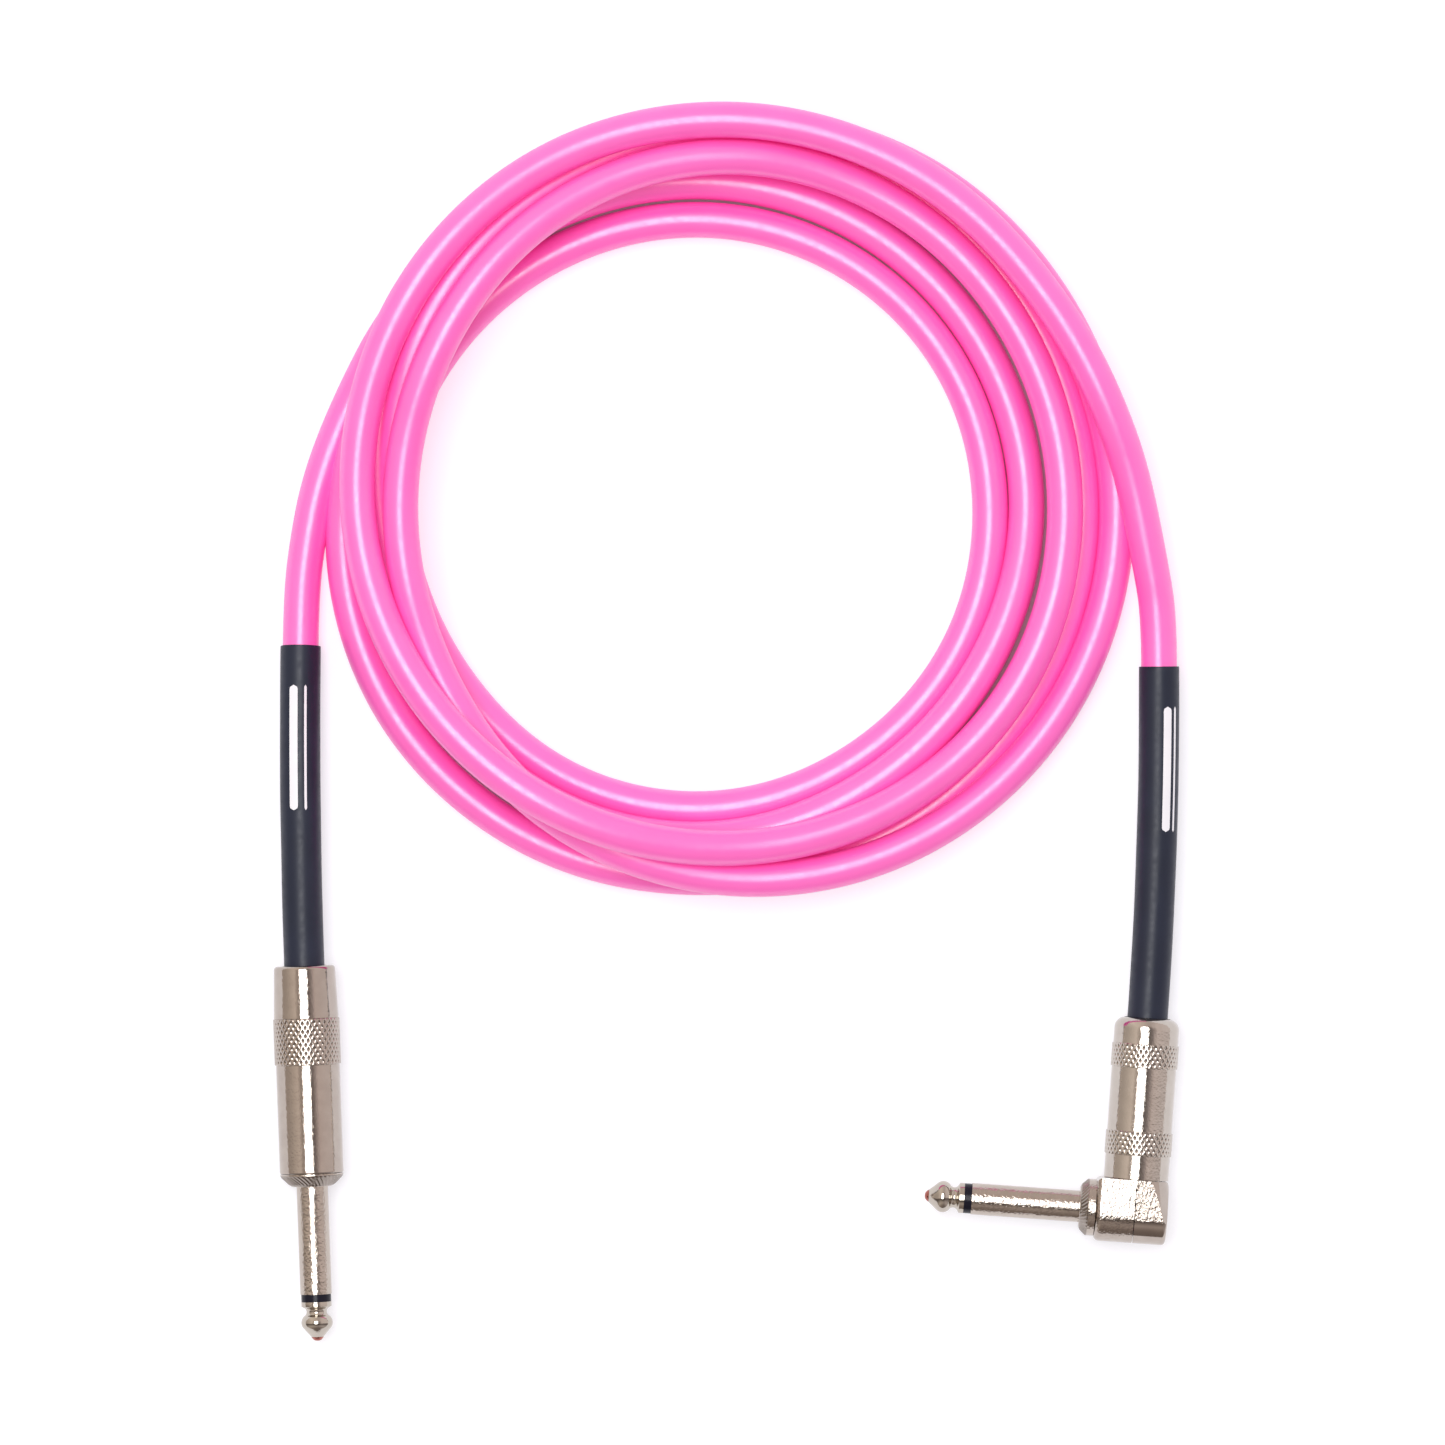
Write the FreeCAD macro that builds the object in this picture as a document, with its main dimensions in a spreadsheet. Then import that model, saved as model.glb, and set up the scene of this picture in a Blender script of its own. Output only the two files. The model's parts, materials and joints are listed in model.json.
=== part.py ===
"""Instrument cable: a loose coil of round cable between a straight and a right-angle 6.35 mm plug.

Millimetres, +Z up, standing on z = 0. The origin is under the middle of the two plugs with their boots.
Each plug is drawn about its own axis, whose Z points from the contact's tip towards the cable.
"""

import FreeCAD
import Part
import math
import os
import re

import Sketcher

Vector = FreeCAD.Vector

# The length of a tangent arc's legs, as a share of the shorter run beside it.
ARC_SHARE = 0.45
# How far a swept bar's volume may be from its section times its length, as a share.
SWEEP_ERROR = 0.005
# A distance too small to matter, for picking a face's edges.
HAIR = 0.01
# A quarter turn about X: a primitive that stands along Z then lies along Y.
ACROSS = FreeCAD.Rotation(Vector(1, 0, 0), -90)

doc = FreeCAD.newDocument("instrument_cable")

# Driving dimensions: millimetres, and degrees for headings (anticlockwise from +X, seen from above).
SIZES = [
    # the cable and its heat-shrink boots
    ("cable_radius", 3.6),
    ("core_radius", 1.6),
    ("wire_radius", 0.5),
    ("boot_radius", 4.05),
    ("boot_bore", 3.65),
    ("boot_hidden", 6.0),
    # the contact, the same on both plugs, measured from the root of its shaft
    ("shaft_radius", 3.175),
    ("shaft_length", 21.6),
    ("shaft_bore", 1.9),
    ("rod_radius", 1.0),
    ("ring_radius", 3.0),
    ("ring_length", 1.5),
    ("tip_length", 7.6),
    ("tip_rim_length", 1.0),
    ("tip_waist_radius", 2.05),
    ("tip_waist_near", 1.5),
    ("tip_waist_far", 2.5),
    ("tip_waist_rounding", 0.9),
    ("tip_ball_edge", 2.75),
    ("tip_ball_near", 3.3),
    ("tip_ball_far", 5.2),
    ("tip_ball_rounding", 1.15),
    ("tip_point_radius", 0.75),
    ("play", 0.05),
    ("overcut", 1.0),
    # the collar that the shaft grows out of, and the screwed neck behind it
    ("collar_radius", 6.35),
    ("collar_front", 4.1),
    ("collar_length", 2.5),
    ("collar_edge", 0.25),
    ("neck_radius", 5.0),
    ("neck_end", 9.0),
    # the straight plug's barrel, measured from the shaft's root
    ("barrel_gap", 0.1),
    ("barrel_radius", 6.4),
    ("barrel_bore", 5.25),
    ("barrel_mouth", 4.45),
    ("barrel_edge", 0.3),
    ("knurl_radius", 6.65),
    ("straight_knurl_near", 24.3),
    ("straight_knurl_far", 33.6),
    ("straight_rear_radius", 6.5),
    ("straight_barrel_end", 44.1),
    ("straight_tail_radius", 6.15),
    ("straight_tail_edge", 0.7),
    ("mouth_wall", 2.5),
    # the liner inside the barrel and the strain relief on the cable
    ("liner_radius", 5.0),
    ("liner_bore", 4.6),
    ("liner_gap", 1.0),
    ("liner_end_gap", 0.2),
    ("clamp_radius", 4.15),
    ("clamp_grip", 7.0),
    ("strap_sweep", 70.0),
    ("grip_sweep", 300.0),
    ("jacket_back", 15.0),
    ("angled_jacket_back", 10.8),
    ("jacket_lip", 1.5),
    ("stripped", 7.0),
    ("shield_radius", 0.65),
    ("shield_aside", 2.85),
    ("shield_heading", 35.0),
    ("washer_radius", 3.4),
    ("washer_length", 1.2),
    ("lug_thickness", 0.8),
    ("lug_radius", 1.9),
    ("lug_width", 2.6),
    ("tongue_length", 6.4),
    ("wire_gap", 1.0),
    ("rivet_length", 0.6),
    ("rivet_way", 4.0),
    ("solder_radius", 1.05),
    ("solder_length", 2.4),
    ("solder_setback", 0.4),
    ("solder_film", 0.08),
    # the right-angle plug's elbow: distances from where its two axes cross
    ("elbow_half", 5.75),
    ("elbow_low", 6.6),
    ("elbow_mouth", 6.2),
    ("elbow_front", 7.85),
    ("elbow_shoulder", 1.2),
    ("cover_rounding", 0.8),
    ("bent_lug_near", 3.0),
    ("bent_lug_low", 1.6),
    ("bent_lug_high", 4.4),
    ("bent_lug_thickness", 0.6),
    ("bent_wire_low", 2.2),
    ("bent_wire_high", 5.2),
    ("bent_wire_top", 7.6),
    ("bent_solder_start", 2.4),
    ("bent_solder_length", 1.8),
    ("angled_core_start", 9.2),
    ("elbow_wall", 1.4),
    ("elbow_neck_end", 12.6),
    ("elbow_neck_bore", 3.6),
    ("elbow_bore_start", 2.0),
    ("cover_depth", 6.6),
    ("cover_mouth_radius", 6.45),
    ("cover_flare", 1.4),
    ("cover_neck_play", 0.15),
    ("seam", 0.16),
    ("sleeve_collar_radius", 5.7),
    ("sleeve_collar_length", 3.1),
    ("sleeve_collar_cone", 1.7),
    ("sleeve_spigot_radius", 3.9),
    ("angled_barrel_radius", 6.5),
    ("angled_knurl_radius", 6.7),
    ("angled_knurl_near", 11.1),
    ("angled_knurl_far", 15.9),
    ("angled_knurl_second", 17.5),
    ("angled_barrel_end", 38.6),
    ("angled_tail_edge", 2.2),
    ("angled_tail_radius", 4.5),
    # where the plugs lie
    ("straight_root_x", -82.8),
    ("straight_root_y", -38.8),
    ("straight_heading", 92.05),
    ("straight_boot_x", -85.2),
    ("straight_boot_y", 69.2),
    ("floor_gap", 0.05),
    ("elbow_x", 81.5),
    ("elbow_y", -43.65),
    ("angled_heading", 85.9),
    ("angled_boot_x", 86.55),
    ("angled_boot_y", 65.1),
    ("angled_boot_z", 7.0),
    # the loose coil: two round outlines that aren't quite concentric, higher where its strands pile up
    ("coil_outer_radius", 80.8),
    ("coil_outer_x", 0.95),
    ("coil_outer_y", 98.7),
    ("coil_inner_radius", 55.4),
    ("coil_inner_x", -6.25),
    ("coil_inner_y", 95.6),
    ("coil_low", 14.5),
    ("coil_high", 26.5),
    ("coil_high_heading", 165.0),
    # the tails between the boots and the coil
    ("straight_tail_run", 11.0),
    ("straight_tail_x", -83.75),
    ("straight_tail_y", 90.8),
    ("angled_tail_run", 10.0),
    ("angled_tail_x", 84.9),
    ("angled_tail_y", 84.8),
    ("angled_tail_z", 8.6),
    ("coil_entry", 14.0),
]
ALIASES = {alias for alias, number in SIZES}

sheet = doc.addObject("Spreadsheet::Sheet", "Sizes")
for row, (alias, number) in enumerate(SIZES, 1):
    sheet.set(f"A{row}", alias)
    sheet.set(f"B{row}", str(number))
    sheet.setAlias(f"B{row}", alias)
doc.recompute()

subparts = []


def bound(expression):
    """The expression with its words pointing at the sheet."""
    def point(word):
        return "Sizes." + word[0] if word[0] in ALIASES else word[0]

    return re.sub(r"[a-z_]+", point, expression)


def size(expression):
    """The number that an expression of the sheet's words comes to now."""
    return float(sheet.evalExpression(bound(expression)))


def heading(degrees):
    """The level unit vector with this heading."""
    return Vector(math.cos(math.radians(degrees)), math.sin(math.radians(degrees)), 0)


def along(base, degrees):
    """A placement whose Z runs level with this heading, and whose X points down to the floor."""
    turn = FreeCAD.Rotation(Vector(0, 0, 1), degrees).multiply(FreeCAD.Rotation(Vector(0, 1, 0), 90))
    return FreeCAD.Placement(base, turn)


def keep(piece, placement=None):
    """Take this object as a sub-part, laid where the placement says."""
    if placement:
        piece.Placement = placement
    subparts.append(piece)
    return piece


def kept_shape(label, shape):
    """A sub-part that is swept in code, where no feature of the document draws it."""
    piece = doc.addObject("Part::Feature", label)
    piece.Shape = shape
    return keep(piece)


# ---------------------------------------------------------------- sketches
def fix_point(sketch, edge, end, across, up):
    """Hold one end of an edge at (across, up), both bound to the sheet."""
    for direction, axis, expression in (("DistanceX", -2, across), ("DistanceY", -1, up)):
        if expression == "0":
            sketch.addConstraint(Sketcher.Constraint("PointOnObject", edge, end, axis))
            continue
        number = size(expression)
        place = sketch.addConstraint(Sketcher.Constraint(direction, -1, 1, edge, end, number))
        sketch.setExpression(f"Constraints[{place}]", bound(expression))


def arc_between(start, end, radius, side):
    """The arc of this radius between two points, with its centre on the left (1) or right (-1)."""
    middle = (start + end) * 0.5
    chord = end - start
    normal = Vector(-chord.y, chord.x, 0).normalize()
    centre = middle + normal * (side * math.sqrt(max(radius ** 2 - (chord.Length / 2) ** 2, 0)))
    angles = [math.atan2(point.y - centre.y, point.x - centre.x) for point in (start, end)]
    if side < 0:
        angles.reverse()
    if angles[1] < angles[0]:
        angles[1] += 2 * math.pi
    return Part.ArcOfCircle(Part.Circle(centre, Vector(0, 0, 1), radius), angles[0], angles[1])


def closed_sketch(body, role, corners):
    """A closed outline on one of the body's planes. A corner is (across, up), or with (radius, side) added
    when an arc leads to the next corner."""
    sketch = body.newObject("Sketcher::SketchObject", body.Label + "_outline")
    plane = next(feature for feature in body.Origin.OriginFeatures if feature.Role == role)
    sketch.AttachmentSupport = [(plane, "")]
    sketch.MapMode = "FlatFace"
    points = [Vector(size(corner[0]), size(corner[1]), 0) for corner in corners]
    ends = []
    for index, corner in enumerate(corners):
        start, end = points[index], points[(index + 1) % len(points)]
        if len(corner) == 2:
            edge = sketch.addGeometry(Part.LineSegment(start, end))
            ends.append((edge, 1, 2))
            continue
        radius, side = corner[2:]
        edge = sketch.addGeometry(arc_between(start, end, size(radius), side))
        ends.append((edge, 1, 2) if side > 0 else (edge, 2, 1))
    for index, (edge, first, last) in enumerate(ends):
        following = ends[(index + 1) % len(ends)]
        sketch.addConstraint(Sketcher.Constraint("Coincident", edge, last, following[0], following[1]))
        fix_point(sketch, edge, first, *corners[index][:2])
    for (edge, first, last), corner in zip(ends, corners):
        if len(corner) > 2:
            place = sketch.addConstraint(Sketcher.Constraint("Radius", edge, size(corner[2])))
            sketch.setExpression(f"Constraints[{place}]", bound(corner[2]))
    return sketch


def turned(label, corners, placement):
    """A turned piece: corners are (radius, distance along the axis)."""
    body = doc.addObject("PartDesign::Body", label)
    sketch = closed_sketch(body, "XZ_Plane", corners)
    turning = body.newObject("PartDesign::Revolution", label + "_turned")
    turning.Profile = sketch
    turning.ReferenceAxis = (sketch, ["V_Axis"])
    turning.Angle = 360
    body.Tip = turning
    return keep(body, placement)


# ---------------------------------------------------------------- primitives
def axial(distance):
    """The place this far along the axis."""
    return "0", "0", distance


def primitive(kind, name, at=("0", "0", "0"), turn=None, **sizes):
    """A Part primitive with its sizes and its place bound to the sheet."""
    shape = doc.addObject("Part::" + kind, name)
    if turn:
        shape.Placement = FreeCAD.Placement(Vector(), turn)
    for axis, expression in zip("xyz", at):
        if expression != "0":
            shape.setExpression("Placement.Base." + axis, bound(expression))
    for key, expression in sizes.items():
        shape.setExpression(key, bound(expression))
    return shape


def combine(kind, name, base, tool):
    """Part's Cut, Fuse or Common of two objects."""
    result = doc.addObject("Part::" + kind, name)
    result.Base = base
    result.Tool = tool
    result.Refine = True
    return result


def rounded(name, base, chosen, radius):
    """Part's Fillet of the edges whose every corner passes the test."""
    doc.recompute()
    edges = [number for number, edge in enumerate(base.Shape.Edges, 1)
             if all(chosen(corner.Point) for corner in edge.Vertexes)]
    result = doc.addObject("Part::Fillet", name)
    result.Base = base
    result.Edges = [(number, size(radius), size(radius)) for number in edges]
    return result


def tube(name, outer, inner, start, length, **angles):
    """A tube about Z, or part of one."""
    outside = primitive("Cylinder", name + "_outside", axial(start), Radius=outer, Height=length, **angles)
    inside = primitive("Cylinder", name + "_inside", axial(f"{start} - overcut"), Radius=inner,
                       Height=f"{length} + 2 * overcut")
    return combine("Cut", name, outside, inside)


# ---------------------------------------------------------------- routes of straight runs and tangent arcs
def route(points):
    """Edges of straight runs joined by tangent arcs, each arc as large as its two runs allow."""
    edges = []
    radii = []
    here = points[0]
    for before, corner, after in zip(points, points[1:], points[2:]):
        toward = (corner - before).normalize()
        away = (after - corner).normalize()
        turn = toward.getAngle(away)
        reach = ARC_SHARE * min((corner - before).Length, (after - corner).Length)
        radius = reach / math.tan(turn / 2)
        first = corner - toward * reach
        last = corner + away * reach
        inward = (away - toward).normalize()
        middle = corner + inward * (radius / math.cos(turn / 2) - radius)
        edges.append(Part.LineSegment(here, first).toShape())
        edges.append(Part.Arc(first, middle, last).toShape())
        radii.append(round(radius, 1))
        here = last
    edges.append(Part.LineSegment(here, points[-1]).toShape())
    return edges, radii


def swept(edges, radius):
    """A round bar along the edges; its volume is compared with its section times its length."""
    start = edges[0].Vertexes[0].Point
    path = Part.Wire(edges)
    direction = edges[0].tangentAt(edges[0].FirstParameter)
    ring = Part.Wire([Part.Circle(start, direction, radius).toShape()])
    bar = path.makePipeShell([ring], True, False)
    if not bar.isValid() or abs(bar.Volume / (math.pi * radius ** 2 * path.Length) - 1) > SWEEP_ERROR:
        raise ValueError("a swept bar isn't sound")
    return bar


class Bend:
    """The stretch of cable under a boot: straight out of the barrel, then one arc to the boot's mouth."""

    def __init__(self, start, direction, mouth):
        chord = mouth - start
        sideways = chord - direction * chord.dot(direction)
        offset = sideways.Length
        sideways.normalize()
        radius = chord.Length ** 2 / (2 * offset)
        turn = 2 * math.asin(chord.Length / (2 * radius))
        onward = radius * math.sin(turn / 2)
        aside = radius * (1 - math.cos(turn / 2))
        middle = start + direction * onward + sideways * aside
        self.start = start
        self.direction = direction
        self.mouth = mouth
        self.way_out = direction * math.cos(turn) + sideways * math.sin(turn)
        self.arc = Part.Arc(start, middle, mouth).toShape()

    def bar(self, lead, radius):
        """A bar that starts this far inside the barrel and ends at the boot's mouth."""
        line = Part.LineSegment(self.start - self.direction * lead, self.start).toShape()
        return swept([line, self.arc], radius)


# ---------------------------------------------------------------- the pieces that both plugs have
def contact(prefix, placement, rod_end, tube_end):
    """The tip with its rod, and the insulator between it and the sleeve."""
    ring_end = "shaft_length + ring_length"
    turned(prefix + "_tip", [
        ("0", f"-({ring_end} + tip_length)"),
        ("tip_point_radius", f"-({ring_end} + tip_length)"),
        ("tip_ball_edge", f"-({ring_end} + tip_ball_far)", "tip_ball_rounding", 1),
        ("tip_ball_edge", f"-({ring_end} + tip_ball_near)"),
        ("tip_waist_radius", f"-({ring_end} + tip_waist_far)", "tip_waist_rounding", -1),
        ("tip_waist_radius", f"-({ring_end} + tip_waist_near)"),
        ("ring_radius", f"-({ring_end} + tip_rim_length)"),
        ("ring_radius", f"-({ring_end})"),
        ("rod_radius", f"-({ring_end})"),
        ("rod_radius", rod_end),
        ("0", rod_end),
    ], placement)
    turned(prefix + "_tip_insulator", [
        ("rod_radius + play", f"-({ring_end})"),
        ("ring_radius", f"-({ring_end})"),
        ("ring_radius", "-shaft_length"),
        ("shaft_bore - play", "-shaft_length"),
        ("shaft_bore - play", tube_end),
        ("rod_radius + play", tube_end),
    ], placement)


def washer(prefix, placement, start):
    """The insulating washer that keeps the tip's lug off the sleeve."""
    turned(prefix + "_rear_insulator", [
        ("rod_radius + play", start),
        ("washer_radius", start),
        ("washer_radius", f"{start} + washer_length"),
        ("rod_radius + play", f"{start} + washer_length"),
    ], placement)


def strain_relief(prefix, placement, start, back):
    """A strap from the neck, rolled round the end of the cable's jacket."""
    reach = f"{back} + jacket_lip"
    strap = tube(prefix + "_strap", "clamp_radius", "cable_radius", start, reach, Angle="strap_sweep")
    grip = tube(prefix + "_grip", "clamp_radius", "cable_radius", f"{start} + {reach}", "clamp_grip",
                Angle="grip_sweep")
    keep(combine("Fuse", prefix + "_ground_clamp", strap, grip), placement)


def shield(prefix, placement, jacket_start):
    """The cable's shield, twisted into one lead and laid under the strap."""
    lead = primitive("Cylinder", prefix + "_shield_wire", Radius="shield_radius", Height="stripped")
    aside = heading(size("shield_heading")) * size("shield_aside")
    aside.z = size(f"{jacket_start} - stripped")
    local = FreeCAD.Placement(aside, FreeCAD.Rotation())
    keep(lead, placement.multiply(local))


def liner(prefix, placement, start, end):
    """The plastic tube that lines the barrel."""
    keep(tube(prefix + "_liner", "liner_radius", "liner_bore", start, f"{end} - ({start})"), placement)


def boot_and_jacket(prefix, bend, jacket_lead):
    """The heat-shrink boot, and the cable's jacket inside it."""
    jacket = bend.bar(jacket_lead, size("cable_radius"))
    kept_shape(prefix + "_jacket_end", jacket)
    lead = size("boot_hidden")
    boot = bend.bar(lead, size("boot_radius")).cut(bend.bar(lead, size("boot_bore")))
    kept_shape(prefix + "_boot", boot.Solids[0])


# ---------------------------------------------------------------- the straight plug
def straight_plug():
    """All the pieces of the straight plug. Returns the bend of its cable."""
    base = Vector(size("straight_root_x"), size("straight_root_y"), size("knurl_radius"))
    course = size("straight_heading")
    placement = along(base, course)
    front = "collar_length + barrel_gap"
    turned("straight_body", [
        ("shaft_bore", "-shaft_length"),
        ("shaft_radius", "-shaft_length"),
        ("shaft_radius", "0"),
        ("collar_front", "0"),
        ("collar_radius", "collar_length - collar_edge"),
        ("collar_radius", "collar_length"),
        ("neck_radius", "collar_length"),
        ("neck_radius", "neck_end"),
        ("shaft_bore", "neck_end"),
    ], placement)
    contact("straight", placement, "neck_end + washer_length + lug_thickness + rivet_length", "neck_end")
    washer("straight", placement, "neck_end")
    turned("straight_barrel", [
        ("barrel_bore", front),
        ("barrel_radius - barrel_edge", front),
        ("barrel_radius", f"{front} + barrel_edge"),
        ("barrel_radius", "straight_knurl_near"),
        ("knurl_radius", "straight_knurl_near"),
        ("knurl_radius", "straight_knurl_far"),
        ("straight_rear_radius", "straight_knurl_far"),
        ("straight_tail_radius", "straight_barrel_end - straight_tail_edge", "straight_tail_edge", 1),
        ("straight_tail_radius - straight_tail_edge", "straight_barrel_end"),
        ("barrel_mouth", "straight_barrel_end"),
        ("barrel_mouth", "straight_barrel_end - mouth_wall"),
        ("barrel_bore", "straight_barrel_end - mouth_wall"),
    ], placement)
    liner("straight", placement, "neck_end + liner_gap",
          "straight_barrel_end - mouth_wall - liner_end_gap")
    strain_relief("straight", placement, "neck_end", "jacket_back")
    shield("straight", placement, "neck_end + jacket_back")
    lug_start = "neck_end + washer_length"
    disc = primitive("Cylinder", "straight_lug_disc", axial(lug_start), Radius="lug_radius",
                     Height="lug_thickness")
    hole = primitive("Cylinder", "straight_lug_hole", axial(f"{lug_start} - overcut"),
                     Radius="rod_radius + play", Height="rivet_way")
    eye = combine("Cut", "straight_lug_eye", disc, hole)
    beside = "wire_radius + solder_film"
    tongue = primitive("Box", "straight_lug_tongue", (beside, "-lug_width / 2", lug_start),
                       Length="lug_thickness", Width="lug_width", Height="tongue_length")
    trimmed = combine("Cut", "straight_lug_trimmed", tongue, hole)
    keep(combine("Fuse", "straight_tip_lug", eye, trimmed), placement)
    wire_start = f"{lug_start} + lug_thickness + rivet_length + wire_gap"
    core_start = "neck_end + jacket_back - stripped"
    jacket_start = "neck_end + jacket_back"
    turned("straight_core_insulation", [
        ("0", core_start), ("core_radius", core_start), ("core_radius", jacket_start), ("0", jacket_start),
    ], placement)
    turned("straight_centre_wire", [
        ("0", wire_start), ("wire_radius", wire_start), ("wire_radius", core_start), ("0", core_start),
    ], placement)
    bead = primitive("Cylinder", "straight_bead", axial(f"{wire_start} + solder_setback"),
                     Radius="solder_radius", Height="solder_length")
    wire = primitive("Cylinder", "straight_bead_wire", axial(wire_start), Radius="wire_radius",
                     Height="solder_length + 2 * overcut")
    plate = primitive("Box", "straight_bead_plate", (beside, "-lug_radius", "0"),
                      Length="lug_radius", Width="2 * lug_radius", Height="straight_barrel_end")
    bored = combine("Cut", "straight_bead_bored", bead, wire)
    keep(combine("Cut", "straight_tip_solder", bored, plate), placement)
    direction = heading(course)
    start = base + direction * size("straight_barrel_end")
    run = size("straight_tail_run")
    mouth_xy = Vector(size("straight_boot_x"), size("straight_boot_y"), 0)
    reach = (mouth_xy - Vector(start.x, start.y, 0)).Length
    share = 2 * run / reach
    mouth_z = (size("cable_radius + floor_gap") + share * start.z) / (1 + share)
    bend = Bend(start, direction, mouth_xy + Vector(0, 0, mouth_z))
    boot_and_jacket("straight", bend, size(f"straight_barrel_end - ({jacket_start})"))
    return bend


# ---------------------------------------------------------------- the right-angle plug
def housing(name, start, depth, wall):
    """A U-shaped block about the shaft's axis from start, open towards the cable: X is across the shaft,
    Y along the shaft, Z towards the cable."""
    half = f"elbow_half - {wall}"
    centre = "-(elbow_low - elbow_half)"
    block = primitive("Box", name + "_block", (f"-({half})", start, centre),
                      Length=f"2 * ({half})", Width=depth, Height=f"elbow_mouth - {wall} - ({centre})")
    round_end = primitive("Cylinder", name + "_round", ("0", start, centre), ACROSS,
                          Radius=half, Height=depth)
    return combine("Fuse", name, block, round_end)


def bent_wiring(barrel_place, shaft_place, lug_start):
    """The lug on the rod's end with its tongue bent towards the cable, and the wire soldered to it."""
    disc = primitive("Cylinder", "angled_lug_disc", axial(lug_start), Radius="lug_radius",
                     Height="lug_thickness")
    hole = primitive("Cylinder", "angled_lug_hole", axial(f"{lug_start} - overcut"),
                     Radius="rod_radius + play", Height="rivet_way")
    eye = combine("Cut", "angled_lug_eye", disc, hole)
    eye.Placement = barrel_place.inverse().multiply(shaft_place)
    root = "elbow_front + sleeve_collar_length"
    step = primitive("Box", "angled_lug_step", ("-lug_width / 2", "bent_lug_near", "bent_lug_low"),
                     Length="lug_width", Width=f"{root} - ({lug_start}) - bent_lug_near",
                     Height="bent_lug_thickness")
    tongue = primitive("Box", "angled_lug_tongue", ("-lug_width / 2", "bent_lug_near", "bent_lug_low"),
                       Length="lug_width", Width="bent_lug_thickness", Height="bent_lug_high - bent_lug_low")
    bent = combine("Fuse", "angled_lug_bent", step, tongue)
    keep(combine("Fuse", "angled_tip_lug", eye, bent), barrel_place)
    core_start = "angled_core_start"
    jacket_start = "elbow_neck_end + angled_jacket_back"
    turned("angled_core_insulation", [
        ("0", core_start), ("core_radius", core_start), ("core_radius", jacket_start), ("0", jacket_start),
    ], barrel_place)
    beside = size("bent_lug_near - wire_radius - solder_film")
    corners = [(0, size(core_start)), (0, size("bent_wire_top")), (beside, size("bent_wire_high")),
               (beside, size("bent_wire_low"))]
    edges, radii = route([barrel_place.multVec(Vector(0, across, up)) for across, up in corners])
    wire = swept(edges, size("wire_radius"))
    kept_shape("angled_centre_wire", wire)
    end = barrel_place.multVec(Vector(0, beside, size("bent_solder_start")))
    axis = barrel_place.Rotation.multVec(Vector(0, 0, 1))
    bead = Part.makeCylinder(size("solder_radius"), size("bent_solder_length"), end, axis)
    doc.recompute()
    bead = bead.cut(wire).cut(doc.getObject("angled_tip_lug").Shape)
    kept_shape("angled_tip_solder", bead.Solids[0])


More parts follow.
